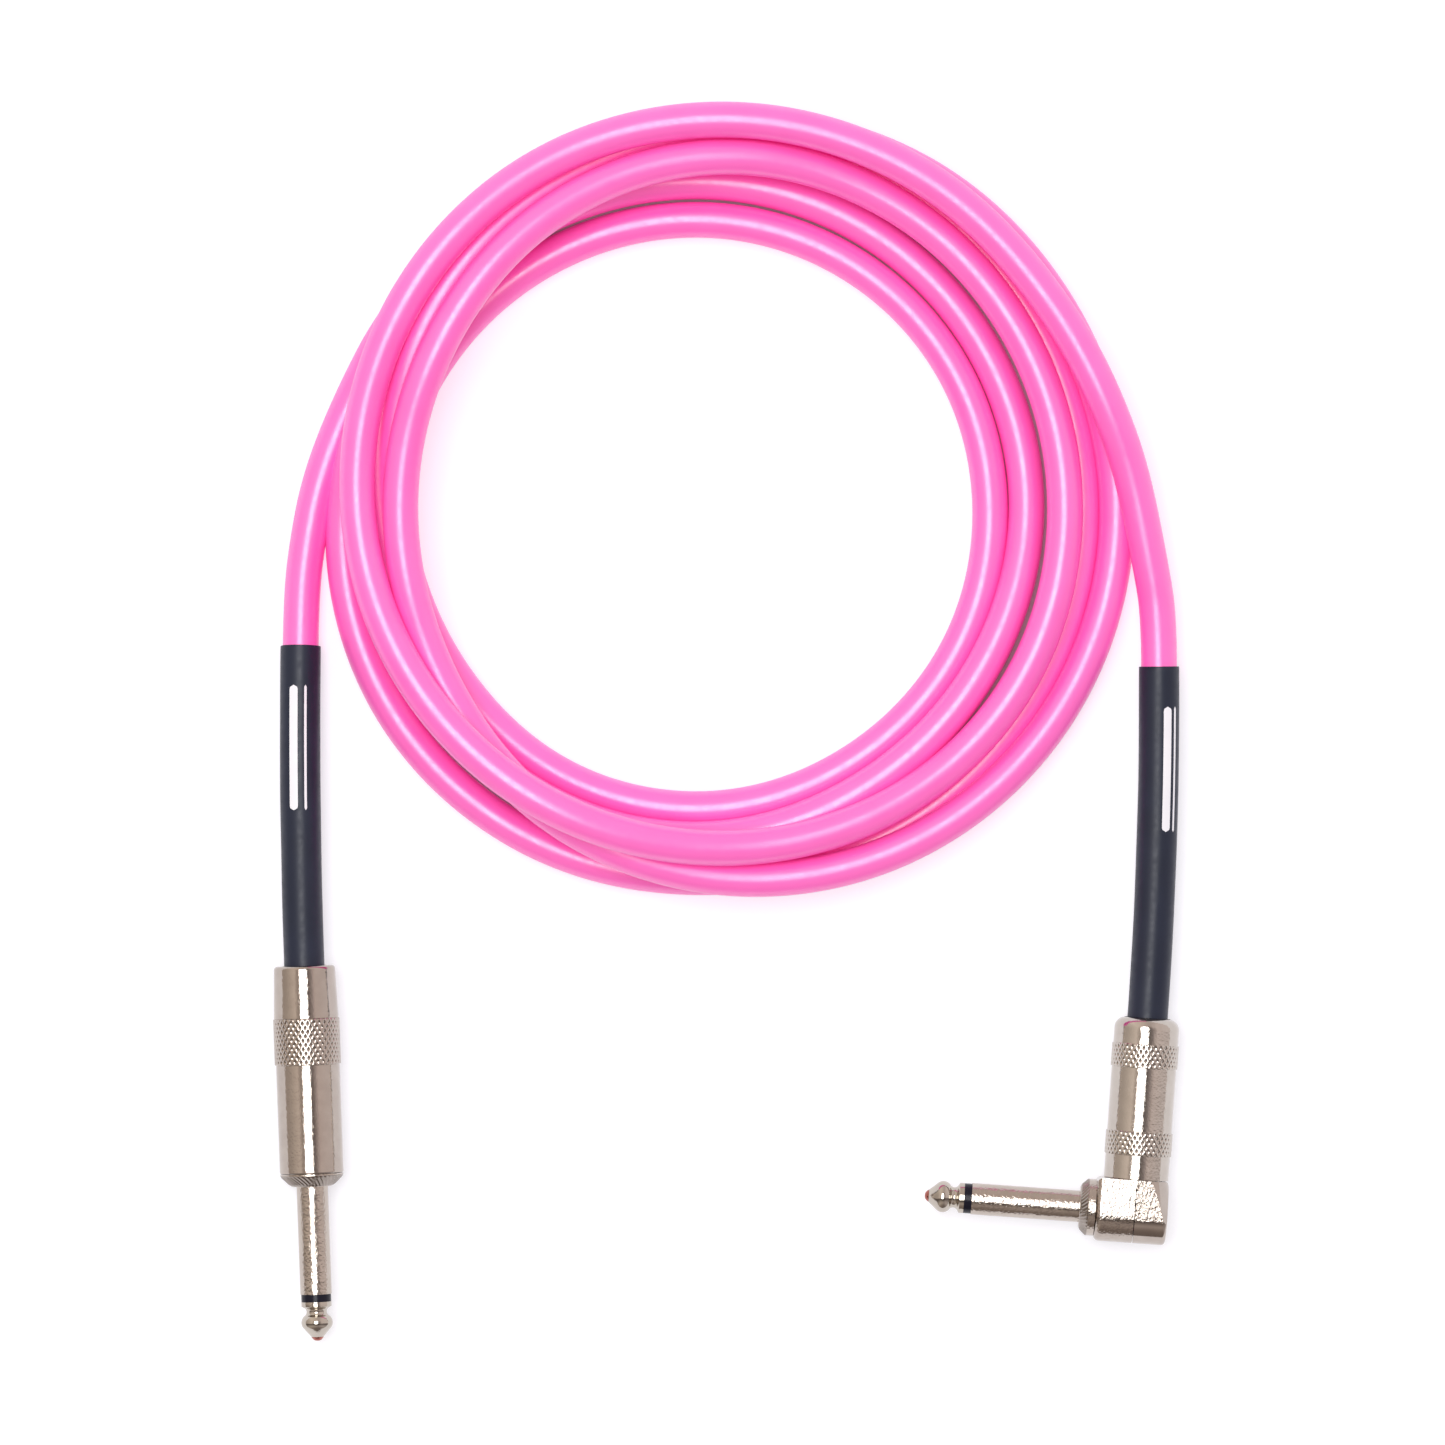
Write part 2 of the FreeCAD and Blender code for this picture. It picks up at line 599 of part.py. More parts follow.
def right_angle_plug():
    """All the pieces of the right-angle plug. Returns the bend of its cable."""
    crossing = Vector(size("elbow_x"), size("elbow_y"), size("angled_knurl_radius"))
    course = size("angled_heading")
    barrel_place = along(crossing, course)
    root = crossing + heading(course + 90) * size("elbow_front + sleeve_collar_length")
    shaft_place = along(root, course - 90)
    turned("angled_sleeve", [
        ("shaft_bore", "-shaft_length"),
        ("shaft_radius", "-shaft_length"),
        ("shaft_radius", "0"),
        ("collar_front", "0"),
        ("sleeve_collar_radius", "sleeve_collar_cone"),
        ("sleeve_collar_radius", "sleeve_collar_length"),
        ("sleeve_spigot_radius - play", "sleeve_collar_length"),
        ("sleeve_spigot_radius - play", "sleeve_collar_length + elbow_wall"),
        ("shaft_bore", "sleeve_collar_length + elbow_wall"),
    ], shaft_place)
    spigot_end = "sleeve_collar_length + elbow_wall"
    rod_end = f"{spigot_end} + washer_length + lug_thickness + rivet_length"
    contact("angled", shaft_place, rod_end, spigot_end)
    washer("angled", shaft_place, spigot_end)

    # the elbow: a hollow half with the shaft's hole and the screwed neck, and a cover for the other half
    block = housing("elbow_outer", "seam / 2", "elbow_front - seam / 2", "0")
    front_face = size("elbow_front") - HAIR
    outer = rounded("elbow_rounded", block, lambda corner: corner.y > front_face, "elbow_shoulder")
    inner = housing("elbow_inner", "-overcut", "elbow_front - elbow_wall + overcut", "elbow_wall")
    shell = combine("Cut", "elbow_hollowed", outer, inner)
    shaft_hole = primitive("Cylinder", "elbow_shaft_hole", axial("0"), ACROSS,
                           Radius="sleeve_spigot_radius", Height="elbow_front + overcut")
    drilled = combine("Cut", "elbow_drilled", shell, shaft_hole)
    neck = primitive("Cylinder", "elbow_neck", axial("elbow_mouth - elbow_wall"), Radius="neck_radius",
                     Height="elbow_neck_end - elbow_mouth + elbow_wall")
    necked = combine("Fuse", "elbow_necked", drilled, neck)
    bore = primitive("Cylinder", "elbow_bore", axial("elbow_bore_start"), Radius="elbow_neck_bore",
                     Height="elbow_neck_end")
    keep(combine("Cut", "angled_elbow", necked, bore), barrel_place)

    cover_block = housing("cover_outer", "-cover_depth", "cover_depth - seam / 2", "0")
    back_face = HAIR - size("cover_depth")
    cover_outer = rounded("cover_rounded", cover_block, lambda corner: corner.y < back_face,
                          "cover_rounding")
    flare = primitive("Cone", "cover_flare_cone", axial("-elbow_low"),
                      Radius1="cover_mouth_radius + cover_flare * (elbow_mouth + elbow_low) / elbow_mouth",
                      Radius2="cover_mouth_radius", Height="elbow_mouth + elbow_low")
    flared = combine("Common", "cover_flared", cover_outer, flare)
    cover_inner = housing("cover_inner", "-cover_depth + elbow_wall", "cover_depth", "elbow_wall")
    hollowed = combine("Cut", "cover_hollowed", flared, cover_inner)
    way = primitive("Cylinder", "cover_neck_way", axial("elbow_bore_start"),
                    Radius="neck_radius + cover_neck_play", Height="elbow_neck_end")
    keep(combine("Cut", "angled_elbow_cover", hollowed, way), barrel_place)

    front = "elbow_mouth + barrel_gap"
    tail = "angled_barrel_end - angled_tail_edge"
    turned("angled_barrel", [
        ("barrel_bore", front),
        ("angled_barrel_radius", front),
        ("angled_barrel_radius", "angled_knurl_near"),
        ("angled_knurl_radius", "angled_knurl_near"),
        ("angled_knurl_radius", "angled_knurl_far"),
        ("angled_barrel_radius", "angled_knurl_far"),
        ("angled_barrel_radius", "angled_knurl_near + angled_knurl_second"),
        ("angled_knurl_radius", "angled_knurl_near + angled_knurl_second"),
        ("angled_knurl_radius", "angled_knurl_far + angled_knurl_second"),
        ("angled_barrel_radius", "angled_knurl_far + angled_knurl_second"),
        ("angled_barrel_radius", tail, "angled_tail_edge", 1),
        ("angled_tail_radius", "angled_barrel_end"),
        ("barrel_mouth", "angled_barrel_end"),
        ("barrel_mouth", "angled_barrel_end - mouth_wall"),
        ("barrel_bore", "angled_barrel_end - mouth_wall"),
    ], barrel_place)
    liner("angled", barrel_place, "elbow_neck_end + liner_gap",
          "angled_barrel_end - mouth_wall - liner_end_gap")
    strain_relief("angled", barrel_place, "elbow_neck_end", "angled_jacket_back")
    shield("angled", barrel_place, "elbow_neck_end + angled_jacket_back")
    bent_wiring(barrel_place, shaft_place, f"{spigot_end} + washer_length")
    direction = heading(course)
    start = crossing + direction * size("angled_barrel_end")
    mouth = Vector(size("angled_boot_x"), size("angled_boot_y"), size("angled_boot_z"))
    bend = Bend(start, direction, mouth)
    boot_and_jacket("angled", bend, size("angled_barrel_end - (elbow_neck_end + angled_jacket_back)"))
    return bend


# ---------------------------------------------------------------- the cord
def tail(label, bend, run, last_point):
    """The free cable from a boot's mouth towards the coil. Returns where it ends and its way there."""
    points = [bend.mouth, bend.mouth + bend.way_out * run, last_point]
    edges, radii = route(points)
    print(label, "points", [[round(value, 2) for value in point] for point in points], "arc radii", radii)
    kept_shape(label, swept(edges, size("cable_radius")))
    return points[-1], (points[-1] - points[-2]).normalize()


def coil(entries):
    """The coil's outer shape: a ring between two round outlines under a sloping top, and the ends of cable
    that run into it."""
    outer = primitive("Cylinder", "coil_outer", ("coil_outer_x", "coil_outer_y", "0"),
                      Radius="coil_outer_radius", Height="2 * coil_high")
    inner = primitive("Cylinder", "coil_inner", ("coil_inner_x", "coil_inner_y", "-overcut"),
                      Radius="coil_inner_radius", Height="2 * (coil_high + overcut)")
    ring = combine("Cut", "coil_ring", outer, inner)
    radius = size("coil_outer_radius")
    slope = math.degrees(math.atan((size("coil_high") - size("coil_low")) / (2 * radius)))
    hinge = heading(size("coil_high_heading") - 90)
    centre = Vector(size("coil_outer_x"), size("coil_outer_y"), (size("coil_high") + size("coil_low")) / 2)
    under = primitive("Box", "coil_under", Length="4 * coil_outer_radius", Width="4 * coil_outer_radius",
                      Height="4 * coil_high")
    tilt = FreeCAD.Placement(centre, FreeCAD.Rotation(hinge, slope))
    corner = Vector(-2 * radius, -2 * radius, -4 * size("coil_high"))
    under.Placement = tilt.multiply(FreeCAD.Placement(corner, FreeCAD.Rotation()))
    whole = combine("Common", "coil_sloped", ring, under)
    for number, (point, way) in enumerate(entries, 1):
        end = primitive("Cylinder", f"coil_entry_{number}", Radius="cable_radius", Height="coil_entry")
        end.Placement = FreeCAD.Placement(point, FreeCAD.Rotation(Vector(0, 0, 1), way))
        whole = combine("Fuse", f"coil_with_entry_{number}", whole, end)
    whole.Label = "cable_coil"
    keep(whole)


# ---------------------------------------------------------------- make, test and write
def check_everything():
    """Stop if any object failed or any sub-part isn't one sound solid."""
    doc.recompute()
    failed = [piece.Label for piece in doc.Objects if "Invalid" in piece.State or "Error" in piece.State]
    if failed:
        raise ValueError(f"these objects failed: {failed}")
    for piece in subparts:
        shape = piece.Shape
        if shape.isNull() or not shape.isValid() or len(shape.Solids) != 1:
            raise ValueError(f"{piece.Label} isn't one sound solid")


def extent(pieces):
    """The box round these pieces."""
    box = FreeCAD.BoundBox()
    for piece in pieces:
        box.add(piece.Shape.optimalBoundingBox(False))
    return box


straight_bend = straight_plug()
angled_bend = right_angle_plug()
plugs = list(subparts)
straight_entry = tail(
    "cable_tail_straight", straight_bend, size("straight_tail_run"),
    Vector(size("straight_tail_x"), size("straight_tail_y"), size("cable_radius + floor_gap")),
)
angled_entry = tail(
    "cable_tail_angled", angled_bend, size("angled_tail_run"),
    Vector(size("angled_tail_x"), size("angled_tail_y"), size("angled_tail_z")),
)
coil([straight_entry, angled_entry])
check_everything()
os.makedirs("parts", exist_ok=True)
for piece in subparts:
    piece.Shape.exportStep(f"parts/{piece.Label}.step")
    print(f"{piece.Label:28s}{piece.Shape.Volume:12.2f} mm3")
print("plugs and boots reach", extent(plugs))
print("everything reaches", extent(subparts))
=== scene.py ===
"""The looks of the instrument cable: a loose coil of pink cable between a straight and a right-angle plug.

Metres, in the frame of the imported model: +X right, +Y away from the plugs' tips, +Z up, standing on z = 0.
Along a plug, distances run towards the cable and angles start at the top.
"""

import json
import math

import bpy
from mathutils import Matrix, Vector, noise


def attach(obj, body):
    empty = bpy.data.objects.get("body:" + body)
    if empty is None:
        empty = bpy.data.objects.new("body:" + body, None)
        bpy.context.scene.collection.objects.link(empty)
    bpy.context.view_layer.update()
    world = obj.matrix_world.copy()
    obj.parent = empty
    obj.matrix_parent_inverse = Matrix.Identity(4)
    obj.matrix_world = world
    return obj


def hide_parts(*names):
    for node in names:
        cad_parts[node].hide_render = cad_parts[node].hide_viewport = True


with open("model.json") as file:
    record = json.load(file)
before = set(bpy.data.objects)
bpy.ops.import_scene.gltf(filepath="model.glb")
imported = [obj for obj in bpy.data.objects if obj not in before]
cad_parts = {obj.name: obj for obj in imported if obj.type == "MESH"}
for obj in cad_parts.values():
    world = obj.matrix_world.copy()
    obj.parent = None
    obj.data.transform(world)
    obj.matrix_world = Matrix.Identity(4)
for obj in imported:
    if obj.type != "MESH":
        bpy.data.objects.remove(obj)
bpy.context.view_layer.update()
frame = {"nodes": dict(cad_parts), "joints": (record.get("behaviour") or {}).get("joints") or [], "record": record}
JOINTS = {joint["name"]: joint for joint in frame["joints"]}

MM = 0.001
UP = Vector((0, 0, 1))

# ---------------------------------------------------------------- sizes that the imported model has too
CABLE_RADIUS = 3.6 * MM
BOOT_RADIUS = 4.05 * MM
BOOT_BORE = 3.65 * MM
BOOT_HIDDEN = 5.5 * MM
# from the right-angle plug's axis to its shaft's root, and up to the elbow's flat top
SHAFT_ASIDE = 10.95 * MM
FLAT_ABOVE_AXIS = 5.75 * MM
STRAIGHT_BARREL_END = 44.1 * MM
ANGLED_BARREL_END = 38.6 * MM

# the free cable from each boot's mouth to the coil: the routes of the tails
STRAIGHT_ROUTE = [(-0.0852, 0.0692, 0.00442), (-0.08509, 0.08017, 0.00365), (-0.08375, 0.0908, 0.00365)]
ANGLED_ROUTE = [(0.08655, 0.0651, 0.0070), (0.08649, 0.0751, 0.00709), (0.0849, 0.0848, 0.0086)]

# ---------------------------------------------------------------- the camera's place
CAMERA = Vector((-0.00075, 0.0539, 2.0))
SHARP_AT = 6.65 * MM
PICTURE_WIDTH = 0.289

# ---------------------------------------------------------------- the coil
COIL_CENTRE = Vector((-0.00085, 0.0968))
# How wide each turn looks to the camera, in millimetres, at every twelfth of the way round, anticlockwise
# from the right. The first comes in from the right-angle plug, and the last leaves for the straight plug.
TURNS = [
    [83.7, 77.6, 77.5, 77.7, 77.4, 75.4, 72.8, 70.6, 68.8, 68.0, 68.5, 69.0],
    [68.6, 68.9, 69.8, 70.3, 68.3, 65.3, 64.3, 65.5, 70.0, 73.9, 77.1, 78.8],
    [79.0, 78.3, 78.0, 76.0, 72.6, 69.6, 65.6, 63.3, 62.4, 60.0, 56.9, 54.9],
    [53.6, 53.9, 55.1, 57.4, 60.4, 64.0, 67.4, 69.1, 68.5, 66.0, 62.6, 61.0],
    [60.9, 61.2, 62.65, 65.1, 68.1, 71.8, 75.6, 77.4, 76.3, 73.7, 73.0, 72.4],
    [72.1, 72.6, 73.2, 73.6, 74.0, 75.2, 82.1],
]
# the width that the first turn comes in from, and the points in a turn
BEFORE_FIRST = 100.0
STEPS = 36
FIRST_TURN = 5 / 360
LAST_TURN = 5 + 152 / 360
# where the last turn swings out to the straight plug's tail
SWING_OUT = [(-0.0735, 0.1218, 0.0036), (-0.0787, 0.1101, 0.0036), (-0.0819, 0.1004, 0.0036)]
# where, in turns along the cable, the fourth turn was laid over the third
SWAPPED_LOW = (2.62, 3.0)
SWAPPED_HIGH = (3.6, 4.02)
# where the third turn passes from over the fourth to beside it and under it, and back, and how far before and
# after that the two still lie side by side
SIDE_BY_SIDE = [2.59, 3.01]
REACH_LOW, REACH_HIGH = 0.05, 0.07
# points nearer than this along the cable, in turns, are one stretch, which can't lie on itself
ONE_STRETCH = 0.4
TYPICAL_WIDTH = 70 * MM
ENTRY_HEIGHT = 11 * MM
SAG = 0.005 / MM
SWEEPS = 600
CAMERA_CORRECTIONS = 3


def radius_at(turn):
    """The coil's radius after this many turns: a smooth line through the table's numbers."""
    widths = [BEFORE_FIRST] + [width for row in TURNS for width in row]
    place = turn * len(TURNS[0]) + 1
    index = min(int(place), len(widths) - 2)
    share = place - index
    before, here, following = widths[index - 1:index + 2]
    after = widths[min(index + 2, len(widths) - 1)]
    slope = following - before
    bend = 2 * before - 5 * here + 4 * following - after
    twist = 3 * here - before - 3 * following + after
    return (here + 0.5 * share * (slope + share * (bend + share * twist))) * MM


def lies_over(turn, other):
    """Earlier turns lie on later ones, but the fourth turn's end was laid over the third's."""
    low, high = sorted((turn, other))
    swapped = SWAPPED_LOW[0] <= low <= SWAPPED_LOW[1] and SWAPPED_HIGH[0] <= high <= SWAPPED_HIGH[1]
    return turn > other if swapped else turn < other


def crossings(turns, line):
    """For each point, the stretches of cable under it: (index, share along it, how much higher it lies)."""
    found = [[] for turn in turns]
    for upper, point in enumerate(line):
        for lower in range(len(line) - 1):
            apart = abs(turns[upper] - turns[lower])
            low, high = sorted((turns[upper], turns[lower]))
            if apart < ONE_STRETCH or not lies_over(turns[upper], turns[lower]):
                continue
            if any(abs(low - place) < REACH_LOW and abs(high - place - 1) < REACH_HIGH
                   for place in SIDE_BY_SIDE):
                continue
            start, stretch = line[lower], line[lower + 1] - line[lower]
            share = max(0.0, min(1.0, (point - start).dot(stretch) / stretch.length_squared))
            aside = (point - start - stretch * share).length
            if aside < 2 * CABLE_RADIUS:
                found[upper].append((lower, share, math.sqrt(4 * CABLE_RADIUS ** 2 - aside ** 2)))
    return found


def settle(turns, line):
    """Heights of the cable as it lies on the floor and on itself, stiff enough to bridge small gaps."""
    under = crossings(turns, line)
    spacing = 2 * math.pi * TYPICAL_WIDTH / STEPS
    sag = SAG * spacing ** 2 / 2
    heights = [CABLE_RADIUS] * len(line)
    heights[0] = ENTRY_HEIGHT
    for sweep in range(SWEEPS):
        for index in range(1, len(line) - 1):
            rest = CABLE_RADIUS
            for lower, share, lift in under[index]:
                rest = max(rest, heights[lower] * (1 - share) + heights[lower + 1] * share + lift)
            heights[index] = max(rest, (heights[index - 1] + heights[index + 1]) / 2 - sag)
    return heights


def coil_points():
    """The coil's control points, from the right-angle plug's side to the straight plug's."""
    count = round((LAST_TURN - FIRST_TURN) * STEPS)
    turns = [FIRST_TURN + (LAST_TURN - FIRST_TURN) * index / count for index in range(count + 1)]
    around = [Vector((math.cos(2 * math.pi * turn), math.sin(2 * math.pi * turn))) for turn in turns]
    looks = [COIL_CENTRE + way * radius_at(turn) for turn, way in zip(turns, around)]
    foot = CAMERA.to_2d()
    line = looks
    for again in range(CAMERA_CORRECTIONS):
        heights = settle(turns, line)
        # higher turns look wider to the camera than they are
        shares = [(CAMERA.z - height) / (CAMERA.z - SHARP_AT) for height in heights]
        line = [foot + (look - foot) * share for look, share in zip(looks, shares)]
    # the spline cuts inside its control points, so they stand a little further out than the cable
    outward = 4 / (3 + math.cos(2 * math.pi / STEPS))
    wide = [COIL_CENTRE + (point - COIL_CENTRE) * outward for point in line]
    return [(point.x, point.y, height) for point, height in zip(wide, heights)]


# ---------------------------------------------------------------- the plugs' axes
class Axis:
    """A line in space: distances run along it, and angles turn from the top towards its right."""

    def __init__(self, start, way):
        self.start = Vector(start)
        self.way = Vector(way).normalized()
        self.up = (UP - self.way * UP.dot(self.way)).normalized()
        self.right = self.way.cross(self.up)

    def at(self, distance):
        return self.start + self.way * distance

    def point(self, distance, radius, angle):
        return self.at(distance) + (self.up * math.cos(angle) + self.right * math.sin(angle)) * radius

    def ring(self, distance, radius, count):
        """Points round the line; radius is a number, or a function of the angle."""
        angles = [2 * math.pi * index / count for index in range(count)]
        widths = [radius(angle) if callable(radius) else radius for angle in angles]
        return [self.point(distance, width, angle) for width, angle in zip(widths, angles)]


straight = Axis(JOINTS["straight_barrel_turn"]["pos_m"], JOINTS["straight_barrel_turn"]["axis"])
angled = Axis(JOINTS["angled_barrel_turn"]["pos_m"], JOINTS["angled_barrel_turn"]["axis"])
tip_way = UP.cross(angled.way)
angled_shaft = Axis(angled.at(0) + tip_way * SHAFT_ASIDE, -tip_way)


# ---------------------------------------------------------------- materials
SHADER = "Principled BSDF"


def new_material(name, **sockets):
    """A material whose shader has these values."""
    material = bpy.data.materials.new(name)
    material.use_nodes = True
    shader = material.node_tree.nodes[SHADER]
    for key, value in sockets.items():
        shader.inputs[key.replace("_", " ")].default_value = value
    return material


class Graph:
    """Builds a material's nodes."""

    def __init__(self, material):
        self.tree = material.node_tree
        self.shader = self.tree.nodes[SHADER]
        self.place = self.node("ShaderNodeTexCoord").outputs["Object"]

    def node(self, kind, **settings):
        made = self.tree.nodes.new(kind)
        for key, value in settings.items():
            setattr(made, key, value)
        return made

    def link(self, output, socket):
        self.tree.links.new(output, socket)

    def noise(self, size, detail=3):
        """Noise from 0 to 1 whose features are about this big."""
        made = self.node("ShaderNodeTexNoise")
        made.inputs["Scale"].default_value = 1 / size
        made.inputs["Detail"].default_value = detail
        self.link(self.place, made.inputs["Vector"])
        return made.outputs["Fac"]

    def between(self, factor, low, high):
        """The factor's middle part, from 0.3 to 0.7, spread between two numbers."""
        made = self.node("ShaderNodeMapRange")
        made.inputs["From Min"].default_value = 0.3
        made.inputs["From Max"].default_value = 0.7
        made.inputs["To Min"].default_value = low
        made.inputs["To Max"].default_value = high
        self.link(factor, made.inputs["Value"])
        return made.outputs["Result"]

    def blended(self, factor, first, second):
        """A colour between two colours."""
        made = self.node("ShaderNodeMix", data_type="RGBA")
        made.inputs["A"].default_value = (*first, 1)
        made.inputs["B"].default_value = (*second, 1)
        self.link(factor, made.inputs["Factor"])
        return made.outputs["Result"]

    def above(self, low, high):
        """From 0 below one height to 1 above another."""
        made = self.node("ShaderNodeMapRange")
        made.inputs["From Min"].default_value = low
        made.inputs["From Max"].default_value = high
        parts = self.node("ShaderNodeSeparateXYZ")
        self.link(self.place, parts.inputs["Vector"])
        self.link(parts.outputs["Z"], made.inputs["Value"])
        return made.outputs["Result"]

    def bump(self, *layers, where=None):
        """Bumps on bumps: each layer is (height, depth). Where tells how strong they are at a place."""
        normal = None
        for height, depth in layers:
            made = self.node("ShaderNodeBump")
            made.inputs["Distance"].default_value = depth
            self.link(height, made.inputs["Height"])
            if where:
                self.link(where, made.inputs["Strength"])
            if normal:
                self.link(normal, made.inputs["Normal"])
            normal = made.outputs["Normal"]
        self.link(normal, self.shader.inputs["Normal"])


def metal(name, light, dark, roughness, ripple, grain=0.3 * MM, rough_above=None):
    """Plated metal: mottled a little, with an uneven polish, rippled at every height or above one."""
    material = new_material(name, Metallic=1.0)
    graph = Graph(material)
    patches = graph.noise(2.5 * MM)
    graph.link(graph.blended(graph.between(patches, 0, 1), light, dark), graph.shader.inputs["Base Color"])
    polish = graph.noise(0.8 * MM, detail=6)
    graph.link(graph.between(polish, roughness * 0.7, roughness * 1.4), graph.shader.inputs["Roughness"])
    where = graph.above(rough_above, rough_above + 0.1 * MM) if rough_above else None
    graph.bump((graph.noise(grain), ripple), (graph.noise(4 * grain), ripple / 2), where=where)
    return material


def plastic(name, light, dark, roughness, grain, depth, **sockets):
    """Moulded or extruded plastic: slightly uneven colour and sheen over a fine grain."""
    material = new_material(name, **sockets)
    graph = Graph(material)
    patches = graph.noise(6 * MM)
    graph.link(graph.blended(graph.between(patches, 0, 1), light, dark), graph.shader.inputs["Base Color"])
    sheen = graph.noise(1.5 * MM, detail=5)
    graph.link(graph.between(sheen, roughness * 0.85, roughness * 1.15), graph.shader.inputs["Roughness"])
    graph.bump((graph.noise(grain, detail=4), depth), (graph.noise(9 * MM), depth * 6))
    return material


BARREL_LIGHT, BARREL_DARK = (0.46, 0.41, 0.365), (0.42, 0.37, 0.33)
BODY_LIGHT, BODY_DARK = (0.51, 0.455, 0.405), (0.47, 0.42, 0.37)
MATERIALS = {
    # the cable glows faintly red-pink all over: painted light that keeps its shaded sides and crevices a saturated
    # pink
    "cable_jacket": plastic("pink_pvc", (0.90, 0.15, 0.56), (0.89, 0.14, 0.54), 0.34, 2.5 * MM, 0.01 * MM,
                            IOR=1.6, Specular_IOR_Level=1.0, Emission_Color=(1.0, 0.0, 0.3, 1),
                            Emission_Strength=0.11),
    "boot": plastic("navy_heat_shrink", (0.014, 0.020, 0.042), (0.011, 0.016, 0.034), 0.42,
                    0.2 * MM, 0.006 * MM, Specular_IOR_Level=0.35),
    "nickel_shell": metal("nickel_barrel", BARREL_LIGHT, BARREL_DARK, 0.07, 0.025 * MM, grain=0.5 * MM),
    "nickel_body": metal("nickel_body", BODY_LIGHT, BODY_DARK, 0.07, 0.08 * MM, grain=0.5 * MM),
    "tip_metal": metal("nickel_tip", (0.52, 0.48, 0.42), (0.47, 0.43, 0.38), 0.07, 0.01 * MM),
    "insulator": plastic("black_insulator", (0.006, 0.006, 0.014), (0.008, 0.008, 0.018), 0.25,
                         0.1 * MM, 0.003 * MM, Specular_IOR_Level=0.2),
    "washer": plastic("fibre_washer", (0.16, 0.05, 0.03), (0.12, 0.04, 0.03), 0.6, 0.1 * MM, 0.01 * MM),
    "liner": plastic("clear_liner", (0.75, 0.75, 0.72), (0.70, 0.70, 0.68), 0.35, 0.3 * MM, 0.004 * MM),
    "tinned_metal": metal("tinned_strap", (0.70, 0.69, 0.66), (0.60, 0.59, 0.57), 0.28, 0.006 * MM),
    "core_plastic": plastic("white_core", (0.80, 0.79, 0.75), (0.76, 0.75, 0.72), 0.4, 0.2 * MM, 0.003 * MM),
    "copper": metal("copper_strands", (0.82, 0.40, 0.24), (0.70, 0.33, 0.20), 0.25, 0.008 * MM),
    "solder": metal("solder", (0.62, 0.62, 0.62), (0.52, 0.52, 0.53), 0.3, 0.02 * MM),
}
FLAT_TOP = angled.start.z + FLAT_ABOVE_AXIS
ANGLED_SHELL = metal("nickel_angled_barrel", (0.53, 0.49, 0.445), (0.49, 0.45, 0.405), 0.07, 0.025 * MM,
                     grain=0.5 * MM)
COLLAR = metal("grooved_collar", (0.34, 0.30, 0.27), (0.26, 0.23, 0.20), 0.16, 0.02 * MM)
HOUSING = metal("cast_housing", BARREL_LIGHT, BARREL_DARK, 0.07, 0.08 * MM, grain=0.5 * MM)
COVER = metal("cast_cover", BARREL_LIGHT, BARREL_DARK, 0.08, 0.22 * MM, grain=0.6 * MM,
              rough_above=FLAT_TOP - 0.15 * MM)
INK = plastic("white_ink", (0.86, 0.87, 0.93), (0.82, 0.83, 0.90), 0.5, 0.2 * MM, 0.002 * MM)
TIP_END = metal("tip_end", (0.46, 0.17, 0.14), (0.36, 0.12, 0.10), 0.3, 0.02 * MM)


# ---------------------------------------------------------------- pieces
def finished(piece, body, slot, material=None, stands_for=()):
    """Put a new piece in the scene, on its body, with its finish."""
    bpy.context.scene.collection.objects.link(piece)
    piece.data.materials.append(material or MATERIALS[slot])
    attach(piece, body)
    if stands_for:
        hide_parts(*stands_for)
    return piece


def loops_piece(name, rows, closed=True, sharp=50):
    """A mesh of rings of points: each ring is joined to the next, and the last to the first when closed."""
    count = len(rows[0])
    faces = []
    for row in range(len(rows) if closed else len(rows) - 1):
        following = (row + 1) % len(rows)
        for column in range(count):
            beside = (column + 1) % count
            faces.append((row * count + column, row * count + beside,
                          following * count + beside, following * count + column))
    if not closed:
        faces.append(tuple(reversed(range(count))))
        faces.append(tuple((len(rows) - 1) * count + column for column in range(count)))
    mesh = bpy.data.meshes.new(name)
    mesh.from_pydata([point for row in rows for point in row], [], faces)
    mesh.validate()
    mesh.polygons.foreach_set("use_smooth", [True] * len(mesh.polygons))
    mesh.set_sharp_from_angle(angle=math.radians(sharp))
    return bpy.data.objects.new(name, mesh)


def rounding(distance, radius, size, first, last, steps=5):
    """Outline points of a rounded edge about a centre, from one angle to another, in degrees."""
    angles = [math.radians(first + (last - first) * step / steps) for step in range(steps + 1)]
    return [(distance + size * math.sin(angle), radius + size * math.cos(angle)) for angle in angles]


# ---------------------------------------------------------------- knurled barrels
KNURL_DEPTH = 0.2 * MM
KNURL_COUNT = 36
KNURL_LEAD = 1.72 * MM
KNURL_SAMPLES = 12


def knurl_height(angle, distance):
    """From 0 in a pit to 1 on a ridge, where two families of slanted ridges cross."""
    around = angle * KNURL_COUNT / (2 * math.pi)
    onward = distance / KNURL_LEAD
    ridges = [abs(2 * ((around + side * onward) % 1) - 1) for side in (1, -1)]
    return math.sin(math.pi / 2 * min(1.0, max(ridges) / 0.9))


def knurled(near, far, radius):
    """Outline points of a knurled band between two chamfers."""
    chamfer = 0.12 * MM
    count = round((far - near - 2 * chamfer) / (KNURL_LEAD / KNURL_SAMPLES))
    points = [(near, radius - KNURL_DEPTH)]
    for index in range(count + 1):
        distance = near + chamfer + (far - near - 2 * chamfer) * index / count

        def width(angle, distance=distance):
            return radius - KNURL_DEPTH * (1 - knurl_height(angle, distance))

        points.append((distance, width))
    points.append((far, radius - KNURL_DEPTH))
    return points


def plain(near, far, first, last):
    """Outline points of a smooth stretch, held flat close to both of its ends."""
    edge = 0.05 * MM / (far - near)
    return [(near + (far - near) * share, first + (last - first) * share) for share in (0, edge, 1 - edge, 1)]


